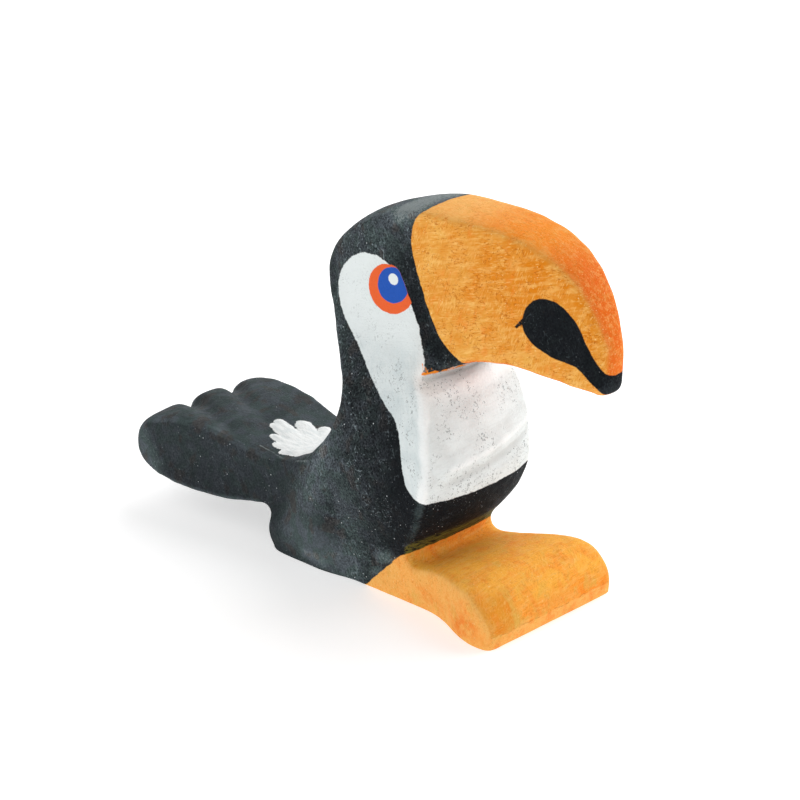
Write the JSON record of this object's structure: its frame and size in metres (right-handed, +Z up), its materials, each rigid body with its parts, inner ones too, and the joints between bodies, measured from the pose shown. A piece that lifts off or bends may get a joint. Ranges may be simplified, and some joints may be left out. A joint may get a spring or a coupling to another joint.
{
  "type": "carved wooden toucan figurine",
  "caption": "Hand-carved and painted wooden toucan with a big drooping beak, a scalloped tail and a flat underside that it stands on.",
  "frame": {"origin": "middle of the footprint of the whole figure, on the plane it stands on", "axes": "+Z up; the bird faces -Y, so its tail points along +Y; its right side, the one in the picture, faces -X"},
  "size_m": [0.0318, 0.1011, 0.0689],
  "materials": {
    "painted_wood": "hand-brushed matte paint over sanded wood: black body, pale bib, orange beak and foot"
  },
  "bodies": {
    "root": {"toucan": "painted_wood"}
  },
  "joints": []
}
